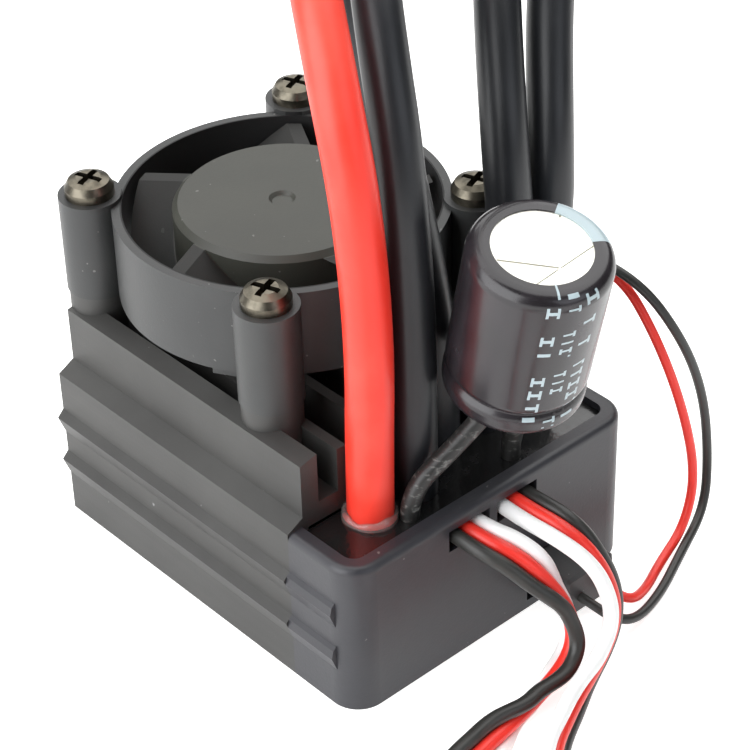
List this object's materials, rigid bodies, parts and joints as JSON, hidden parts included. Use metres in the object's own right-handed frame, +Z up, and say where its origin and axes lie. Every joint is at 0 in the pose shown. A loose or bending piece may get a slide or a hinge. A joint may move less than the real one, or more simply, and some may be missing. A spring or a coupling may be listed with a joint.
{
  "type": "electronic speed controller",
  "caption": "Brushless motor speed controller with a finned heat sink, cooling fan, capacitor, power wires, receiver lead and switch.",
  "frame": {"origin": "centre of the flat base of the case", "axes": "+X across the case, -Y towards the nose where the leads leave, +Z up from the base to the fan"},
  "size_m": [0.0909, 0.1055, 0.112],
  "materials": {
    "housing_plastic": "moulded satin",
    "anodised_aluminium": "grey anodised",
    "resin": "poured resin",
    "copper": "bare copper",
    "board": "solder mask",
    "chip_plastic": "moulded",
    "pad_rubber": "soft",
    "white_plastic": "moulded",
    "gold_plate": "gold plated",
    "ferrite": "pressed",
    "fan_plastic": "glass-filled, satin",
    "rotor_plastic": "satin",
    "steel": "ground",
    "bronze": "sintered",
    "nickel_steel": "nickel plated",
    "connector_plastic": "moulded",
    "can_aluminium": "drawn",
    "sleeve_film": "heat-shrunk",
    "foil": "wound foil and paper",
    "tinned_copper": "tinned",
    "grey_sleeve": "extruded",
    "plug_plastic": "moulded nylon",
    "red_silicone": "satin silicone",
    "black_silicone": "satin silicone",
    "ribbon_vinyl": "three bonded wires: black, red and white",
    "red_vinyl": "extruded",
    "black_vinyl": "extruded",
    "box_plastic": "fine texture",
    "red_plastic": "moulded",
    "shrink_tube": "heat-shrunk"
  },
  "bodies": {
    "controller": {"battery_contacts": "gold_plate", "battery_plug": "plug_plastic", "battery_wire_negative": "black_silicone", "battery_wire_positive": "red_silicone", "board_spacers": "white_plastic", "capacitor_bung": "pad_rubber", "capacitor_can": "can_aluminium", "capacitor_lead_sleeves": "grey_sleeve", "capacitor_leads": "tinned_copper", "capacitor_sleeve": "sleeve_film", "capacitor_winding": "foil", "control_board": "board", "fan_bearing": "bronze", "fan_board": "board", "fan_coils": "copper", "fan_frame": "fan_plastic", "fan_header": "connector_plastic", "fan_header_pins": "gold_plate", "fan_lead_black": "black_vinyl", "fan_lead_red": "red_vinyl", "fan_plug": "connector_plastic", "fan_screws": "nickel_steel", "fan_stator": "steel", "front_housing": "housing_plastic", "heatsink_case": "anodised_aluminium", "link_pins": "gold_plate", "microcontroller": "chip_plastic", "mosfets": "chip_plastic", "motor_bullet_a": "gold_plate", "motor_bullet_b": "gold_plate", "motor_bullet_c": "gold_plate", "motor_bullet_sleeve_a": "shrink_tube", "motor_bullet_sleeve_b": "shrink_tube", "motor_bullet_sleeve_c": "shrink_tube", "motor_wire_a": "black_silicone", "motor_wire_b": "black_silicone", "motor_wire_c": "black_silicone", "potting": "resin", "power_board": "board", "push_switch": "nickel_steel", "rear_cover": "housing_plastic", "receiver_contacts": "gold_plate", "receiver_lead": "ribbon_vinyl", "receiver_plug": "connector_plastic", "slide_switch": "nickel_steel", "switch_base": "box_plastic", "switch_board": "board", "switch_lead": "ribbon_vinyl", "switch_shell": "box_plastic", "thermal_pad": "pad_rubber", "voltage_coil": "ferrite", "wire_cores": "copper"},
    "fan_rotor": {"fan_rotor": "rotor_plastic", "rotor_magnet": "ferrite", "fan_shaft": "steel"},
    "switch_knob": {"switch_knob": "white_plastic"},
    "set_button": {"set_button": "red_plastic"}
  },
  "joints": [
    {"name": "fan_spin", "type": "hinge", "parent": "controller", "child": "fan_rotor", "pos_m": [0, 0.007, 0.0285], "axis": [0, 0, 1], "continuous": true},
    {"name": "power_switch", "type": "slide", "parent": "controller", "child": "switch_knob", "axis": [0.8884, -0.459, 0], "range_m": [0, 0.002]},
    {"name": "set_press", "type": "slide", "parent": "controller", "child": "set_button", "axis": [0, 0, -1], "range_m": [0, 0.0004], "stiffness_N_per_m": 400, "springref_m": -0.0005}
  ]
}
